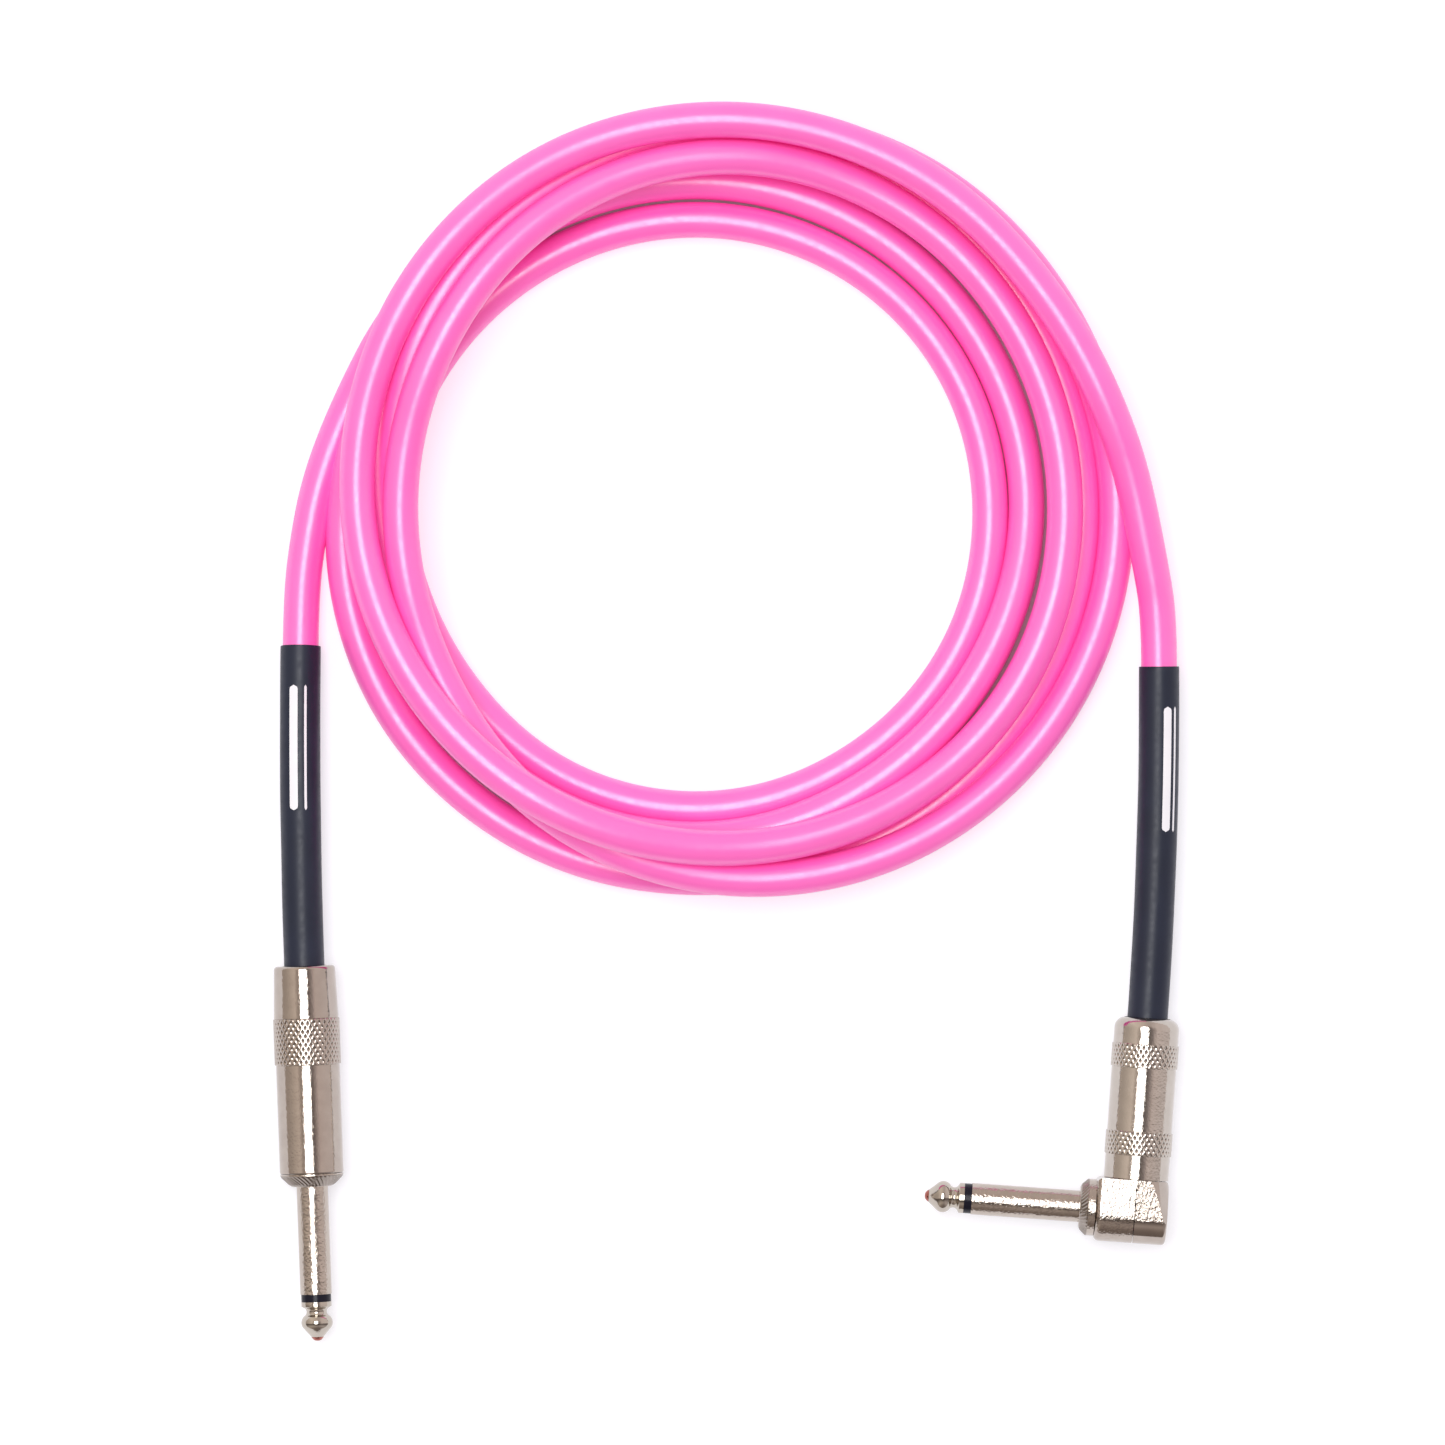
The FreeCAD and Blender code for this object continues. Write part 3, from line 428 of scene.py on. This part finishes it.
def barrel(name, axis, body, outline, node, material=None):
    """A turned and knurled barrel, bore and all."""
    rows = [axis.ring(distance, radius, KNURL_COUNT * KNURL_SAMPLES) for distance, radius in outline]
    finished(loops_piece(name, rows), body, "nickel_shell", material, stands_for=[node])


BARREL_BORE = 5.25 * MM
BARREL_MOUTH = 4.45 * MM
MOUTH_WALL = 2.5 * MM
SOFT_EDGE = 0.2 * MM


def barrel_mouth(end):
    """Outline points of the far end's hole: its softened edge, and the step to the wider bore."""
    inside = end - MOUTH_WALL
    edge = rounding(end - SOFT_EDGE, BARREL_MOUTH + SOFT_EDGE, SOFT_EDGE, 90, 180)
    return edge + [(inside, BARREL_MOUTH), (inside, BARREL_BORE)]


def straight_barrel():
    """One wide knurled band, with a barrel that narrows behind it."""
    front, end, radius = 2.6 * MM, STRAIGHT_BARREL_END, 6.4 * MM
    edge, tail_edge, tail = 0.3 * MM, 0.7 * MM, 6.15 * MM
    near, far = 24.3 * MM, 33.6 * MM
    outline = [(front, BARREL_BORE), (front, radius - edge)]
    outline += rounding(front + edge, radius - edge, edge, -90, 0)
    outline += plain(front + edge + 0.02 * MM, near - 0.02 * MM, radius, radius)
    outline += knurled(near, far, 6.65 * MM)
    outline += plain(far + 0.05 * MM, end - tail_edge - 0.02 * MM, 6.5 * MM, tail)
    outline += rounding(end - tail_edge, tail - tail_edge, tail_edge, 0, 90)
    outline += barrel_mouth(end)
    barrel("straight_barrel_knurled", straight, "straight_shell", outline, "straight_barrel")


def angled_barrel():
    """Two narrow knurled bands on an even barrel with a rounded tail."""
    front, end, radius = 6.3 * MM, ANGLED_BARREL_END, 6.5 * MM
    edge, tail_edge, second = 0.15 * MM, 2.2 * MM, 17.5 * MM
    near, far = 11.1 * MM, 15.9 * MM
    outline = [(front, BARREL_BORE), (front, radius - edge)]
    outline += rounding(front + edge, radius - edge, edge, -90, 0)
    outline += plain(front + edge + 0.02 * MM, near - 0.02 * MM, radius, radius)
    outline += knurled(near, far, 6.7 * MM)
    outline += plain(far + 0.02 * MM, near + second - 0.02 * MM, radius, radius)
    outline += knurled(near + second, far + second, 6.7 * MM)
    outline += plain(far + second + 0.02 * MM, end - tail_edge - 0.02 * MM, radius, radius)
    outline += rounding(end - tail_edge, radius - tail_edge, tail_edge, 0, 85, steps=10)
    outline += barrel_mouth(end)
    barrel("angled_barrel_knurled", angled, "angled_shell", outline, "angled_barrel", ANGLED_SHELL)


# ---------------------------------------------------------------- collars with slanted grooves
# where each collar's cone starts and ends: the distance from the shaft's root, and the radius
STRAIGHT_CONE = [(0.1 * MM, 4.2 * MM), (2.2 * MM, 6.32 * MM)]
ANGLED_CONE = [(0.1 * MM, 4.2 * MM), (1.68 * MM, 5.68 * MM)]


def grooved_collar(name, axis, outline):
    """Slanted ridges that stand on a collar's cone, on a skirt sunk into the collar."""
    count, samples, steps, slant = 40, 8, 20, 0.9 / MM
    rise, lift, sink = 0.2 * MM, 0.01 * MM, 0.06 * MM
    (first, narrow), (last, wide) = outline
    rows = []
    for step in range(steps + 1):
        share = step / steps
        distance = first + (last - first) * share
        radius = narrow + (wide - narrow) * share
        height = rise * min(1.0, 6 * share, 6 * (1 - share))

        def width(angle, distance=distance, radius=radius, height=height):
            wave = abs(2 * ((angle * count / (2 * math.pi) + distance * slant) % 1) - 1)
            return radius + lift + height * wave

        rows.append(axis.ring(distance, width, count * samples))
    rows.append(axis.ring(last, wide - sink, count * samples))
    rows.append(axis.ring(first, narrow - sink, count * samples))
    finished(loops_piece(name, rows), "root", "nickel_body", material=COLLAR)


# ---------------------------------------------------------------- boots
class Bend(Axis):
    """The line of a boot: from a barrel's mouth along one arc to the boot's own mouth."""

    def __init__(self, axis, barrel_end, mouth):
        super().__init__(axis.at(barrel_end), axis.way)
        chord = Vector(mouth) - self.start
        sideways = chord - self.way * chord.dot(self.way)
        self.aside = sideways.normalized()
        self.radius = chord.length_squared / (2 * sideways.length)
        self.length = 2 * math.asin(chord.length / (2 * self.radius)) * self.radius

    def axis_at(self, distance):
        """The straight line that the bend follows at this distance."""
        if distance < 0:
            return Axis(self.at(distance), self.way)
        turn = distance / self.radius
        middle = self.start + self.aside * self.radius
        start = middle + (self.way * math.sin(turn) - self.aside * math.cos(turn)) * self.radius
        return Axis(start, self.way * math.cos(turn) + self.aside * math.sin(turn))


def boot(name, bend, node, seed):
    """A heat-shrink sleeve: a thin tube with softened rims, shrunk a little unevenly."""
    count, steps, rim, bore_rim = 64, 90, 0.16 * MM, 0.1 * MM
    uneven, patch_length, patch_width = 0.05 * MM, 14 * MM, 0.8
    rows = []
    for step in range(steps + 1):
        distance = -BOOT_HIDDEN + (bend.length - rim + BOOT_HIDDEN) * step / steps
        line = bend.axis_at(distance)

        def width(angle, distance=distance):
            across, upward = math.cos(angle) * patch_width, math.sin(angle) * patch_width
            place = Vector((distance / patch_length, across, upward + seed))
            return BOOT_RADIUS + uneven * noise.noise(place)

        rows.append(line.ring(0, width, count))
    mouth = bend.axis_at(bend.length)
    for distance, radius in rounding(-rim, BOOT_RADIUS - rim, rim, 15, 90, steps=4):
        rows.append(mouth.ring(distance, radius, count))
    for distance, radius in rounding(-bore_rim, BOOT_BORE + bore_rim, bore_rim, 90, 180, steps=3):
        rows.append(mouth.ring(distance, radius, count))
    for distance in (bend.length * 0.6, bend.length * 0.3, 0, -BOOT_HIDDEN):
        rows.append(bend.axis_at(distance).ring(0, BOOT_BORE, count))
    finished(loops_piece(name, rows), "root", "boot", stands_for=[node])


def printed_bar(name, bend, first, last, angle, half_width):
    """A plain bar of white ink with round ends, on the boot's skin."""
    steps, proud, sunk, across = 60, 0.03 * MM, 0.08 * MM, 8
    rows = []
    for step in range(steps + 1):
        distance = first + (last - first) * step / steps
        inset = max(0.0, half_width - min(distance - first, last - distance))
        half = math.sqrt(max(half_width ** 2 - inset ** 2, 1e-10)) / BOOT_RADIUS
        line = bend.axis_at(distance)
        sweep = [angle + half * (2 * index / across - 1) for index in range(across + 1)]
        upper = [line.point(0, BOOT_RADIUS + proud, turn) for turn in sweep]
        lower = [line.point(0, BOOT_RADIUS - sunk, turn) for turn in reversed(sweep)]
        rows.append(upper + lower)
    finished(loops_piece(name, rows, closed=False), "root", "boot", material=INK)


# ---------------------------------------------------------------- the contacts' ends
def contact_tip(name, axis, node):
    """A plug's tip: a blunt cone, a ball, a waist and a rim, with its rod that runs back through the plug."""
    rod_end = max((vertex.co - axis.start).dot(axis.way) for vertex in frame["nodes"][node].data.vertices)
    end, ring, rod = -30.7 * MM, -23.1 * MM, 1.0 * MM
    ball, waist, rim = ring - 4.2 * MM, ring - 2.04 * MM, ring - 0.9 * MM
    rim_radius = 2.95 * MM
    outline = [(end - 0.02 * MM, 0.4 * MM), (end, 0.7 * MM), (end + 0.06 * MM, 0.82 * MM)]
    outline += rounding(ball, 1.42 * MM, 1.75 * MM, -40.8, 54.7, steps=24)
    outline += rounding(waist, rim_radius, 0.9 * MM, -125.3, -240, steps=12)
    outline += rounding(rim, rim_radius, 0.1 * MM, -30, 0, steps=3)
    outline += [(ring - 0.02 * MM, 3.05 * MM), (ring, 3.0 * MM), (ring, rod), (rod_end, rod)]
    rows = [axis.ring(distance, radius, 64) for distance, radius in outline]
    finished(loops_piece(name, rows, closed=False, sharp=35), "root", "tip_metal", stands_for=[node])


def tip_end(name, axis):
    """The bare end of the rod at the very point of a plug."""
    outline = [(-30.15, 1.05), (-30.20, 1.24), (-30.55, 0.98), (-30.80, 0.72), (-30.93, 0.42), (-30.96, 0.15)]
    rows = [axis.ring(distance * MM, radius * MM, 32) for distance, radius in outline]
    finished(loops_piece(name, rows, closed=False), "root", "tip_metal", material=TIP_END)


# ---------------------------------------------------------------- the cord
def cable():
    """One smooth line from the straight plug's boot through the coil to the right-angle plug's boot."""
    points = STRAIGHT_ROUTE + SWING_OUT[::-1] + coil_points()[::-1] + ANGLED_ROUTE[::-1]
    curve = bpy.data.curves.new("pink_cable", "CURVE")
    curve.dimensions = "3D"
    spline = curve.splines.new("NURBS")
    spline.points.add(len(points) - 1)
    for control, point in zip(spline.points, points):
        control.co = (*point, 1)
    spline.order_u = 3
    spline.use_endpoint_u = True
    spline.resolution_u = 8
    curve.bevel_depth = CABLE_RADIUS
    curve.bevel_resolution = 8
    curve.use_fill_caps = True
    piece = finished(bpy.data.objects.new("pink_cable", curve), "root", "cable_jacket",
                     stands_for=["cable_coil", "cable_tail_straight", "cable_tail_angled"])


# ---------------------------------------------------------------- the CAD pieces' finishes
def finish_nodes():
    """Give every CAD node the material of its slot, but the right-angle plug's elbow and its cover their own cast
    finishes.
    """
    for part in frame["record"]["subparts"]:
        mesh = frame["nodes"][part["node"]].data
        mesh.materials.clear()
        finish = {"angled_elbow": HOUSING, "angled_elbow_cover": COVER}
        mesh.materials.append(finish.get(part["node"], MATERIALS[part["material_slot"]]))


# ---------------------------------------------------------------- studio
SOFTBOX_PLACE = (-0.3, 0.27, 2.6)
SOFTBOX_SIZE = (1.2, 1.75)
SOFTBOX_WATTS = 48
# the gaps between turns lie between the coil's hole, which is a little off the coil's centre, and its outside
HOLE_ASIDE = (-5.3 * MM, -1.3 * MM)
HOLE_RADIUS = 58.5 * MM
COIL_RADIUS = 74 * MM
# the floor's glow, and its far fainter glow in the coil's gaps: painted shade between the turns
GLOW, GLOW_IN_GAPS = 0.56, 0.02


def lay_floor():
    """A wide sheet of white paper. It glows a little to keep shadows pale, but hardly at all in the coil's gaps,
    which is painted shade between the turns.
    """
    floor_mesh = bpy.data.meshes.new("floor")
    half, low = 4.0, -0.25 * MM
    floor_mesh.from_pydata([(-half, -half, low), (half, -half, low), (half, half, low), (-half, half, low)],
                           [], [(0, 1, 2, 3)])
    floor = bpy.data.objects.new("floor", floor_mesh)
    bpy.context.scene.collection.objects.link(floor)
    paper = plastic("white_paper", (0.54, 0.55, 0.58), (0.53, 0.54, 0.57), 0.9, 1 * MM, 0.01 * MM,
                    Emission_Color=(0.96, 0.96, 1.0, 1), Specular_IOR_Level=0)
    graph = Graph(paper)
    hole = (COIL_CENTRE.x + HOLE_ASIDE[0], COIL_CENTRE.y + HOLE_ASIDE[1], low)
    # painted shade: the glow drops inside the ring from the coil's hole to its outside
    outside = graph.node("ShaderNodeMath", operation="MAXIMUM")
    limits = [(hole, HOLE_RADIUS, "LESS_THAN"), ((*COIL_CENTRE, low), COIL_RADIUS, "GREATER_THAN")]
    for socket, (centre, limit, side) in zip(outside.inputs, limits):
        reach = graph.node("ShaderNodeVectorMath", operation="DISTANCE")
        reach.inputs[1].default_value = centre
        graph.link(graph.place, reach.inputs[0])
        beyond = graph.node("ShaderNodeMath", operation=side)
        beyond.inputs[1].default_value = limit
        graph.link(reach.outputs["Value"], beyond.inputs[0])
        graph.link(beyond.outputs["Value"], socket)
    glow = graph.node("ShaderNodeMath", operation="MULTIPLY_ADD")
    glow.inputs[1].default_value, glow.inputs[2].default_value = GLOW - GLOW_IN_GAPS, GLOW_IN_GAPS
    graph.link(outside.outputs["Value"], glow.inputs[0])
    graph.link(glow.outputs["Value"], graph.shader.inputs["Emission Strength"])
    floor_mesh.materials.append(paper)


def hang_softbox():
    """One large soft light overhead."""
    light = bpy.data.lights.new("softbox", "AREA")
    light.shape = "RECTANGLE"
    light.size, light.size_y = SOFTBOX_SIZE
    light.energy = SOFTBOX_WATTS
    softbox = bpy.data.objects.new("softbox", light)
    softbox.location = SOFTBOX_PLACE
    bpy.context.scene.collection.objects.link(softbox)


# how bright the room is at marks from -1 (0.0) to +1 (1.0) upwards, to the sides, and towards and away from
# whoever looks down on the cable with its plugs nearest
ROOM = {
    "Z": [(0.0, (0.90, 0.85, 0.83)), (0.5, (1.0, 0.94, 0.92)), (0.9, (0.96, 0.88, 0.85)),
          (0.965, (0.50, 0.45, 0.44)), (1.0, (0.24, 0.22, 0.22))],
    "X": [(0.0, (0.62, 0.57, 0.52)), (0.08, (0.82, 0.77, 0.70)), (0.2, (1.04, 0.98, 0.90)),
          (0.36, (0.95, 0.88, 0.80)), (0.6, (0.72, 0.67, 0.66)), (0.75, (0.95, 0.89, 0.88)),
          (1.0, (0.95, 0.91, 0.91))],
    "Y": [(0.0, (0.30, 0.28, 0.27)), (0.06, (0.42, 0.40, 0.39)), (0.15, (0.70, 0.70, 0.70)),
          (0.28, (0.42, 0.42, 0.42)), (0.36, (0.21, 0.195, 0.195)), (0.41, (0.28, 0.26, 0.26)),
          (0.45, (1.0, 1.0, 1.0))],
}


def paint_room():
    """A grey room that is darker above than around, for the metal to reflect."""
    world = bpy.data.worlds.new("room")
    world.use_nodes = True
    tree = world.node_tree
    background = tree.nodes["Background"]
    place = tree.nodes.new("ShaderNodeTexCoord")
    parts = tree.nodes.new("ShaderNodeSeparateXYZ")
    tree.links.new(place.outputs["Generated"], parts.inputs["Vector"])
    color = None
    for direction, stops in ROOM.items():
        share = tree.nodes.new("ShaderNodeMapRange")
        share.inputs["From Min"].default_value = -1.0
        tree.links.new(parts.outputs[direction], share.inputs["Value"])
        ramp = tree.nodes.new("ShaderNodeValToRGB")
        marks = ramp.color_ramp.elements
        while len(marks) < len(stops):
            marks.new(0.5)
        for mark, (position, shade) in zip(marks, stops):
            mark.position = position
            mark.color = (*shade, 1)
        tree.links.new(share.outputs["Result"], ramp.inputs["Fac"])
        if color:
            product = tree.nodes.new("ShaderNodeMix")
            product.data_type, product.blend_type = "RGBA", "MULTIPLY"
            product.inputs["Factor"].default_value = 1.0
            tree.links.new(color, product.inputs["A"])
            tree.links.new(ramp.outputs["Color"], product.inputs["B"])
            color = product.outputs["Result"]
        else:
            color = ramp.outputs["Color"]
    tree.links.new(color, background.inputs["Color"])
    bpy.context.scene.world = world
    bpy.context.scene.view_settings.view_transform = "Standard"


def camera():
    """Straight down on the object; its picture is 289 mm wide at the height of the plugs' axes."""
    data = bpy.data.cameras.new("camera")
    data.sensor_width = 36
    data.lens = data.sensor_width * (CAMERA.z - SHARP_AT) / PICTURE_WIDTH
    seen_from = bpy.data.objects.new("camera", data)
    seen_from.location = CAMERA
    bpy.context.scene.collection.objects.link(seen_from)
    bpy.context.scene.camera = seen_from


finish_nodes()
cable()
straight_barrel()
angled_barrel()
grooved_collar("straight_collar_grooves", straight, STRAIGHT_CONE)
grooved_collar("angled_collar_grooves", angled_shaft, ANGLED_CONE)
straight_bend = Bend(straight, STRAIGHT_BARREL_END, STRAIGHT_ROUTE[0])
angled_bend = Bend(angled, ANGLED_BARREL_END, ANGLED_ROUTE[0])
boot("straight_boot_shrunk", straight_bend, "straight_boot", 0.0)
boot("angled_boot_shrunk", angled_bend, "angled_boot", 7.0)
# how far from each boot's mouth the prints start and end, and half their widths
PRINT_START, PRINT_END = 33 * MM, 8 * MM
BAR_HALF, LINE_HALF = 0.85 * MM, 0.25 * MM
# each boot with the angles of its bar and its line
PRINTS = (("straight", straight_bend, -0.30, 0.30), ("angled", angled_bend, 0.40, 0.85))
for side, bend, bar_angle, line_angle in PRINTS:
    first, last = bend.length - PRINT_START, bend.length - PRINT_END
    printed_bar(side + "_print_bar", bend, first, last, bar_angle, BAR_HALF)
    printed_bar(side + "_print_line", bend, first, last, line_angle, LINE_HALF)
contact_tip("straight_tip_turned", straight, "straight_tip")
contact_tip("angled_tip_turned", angled_shaft, "angled_tip")
tip_end("straight_tip_end", straight)
tip_end("angled_tip_end", angled_shaft)
lay_floor()
hang_softbox()
paint_room()
camera()
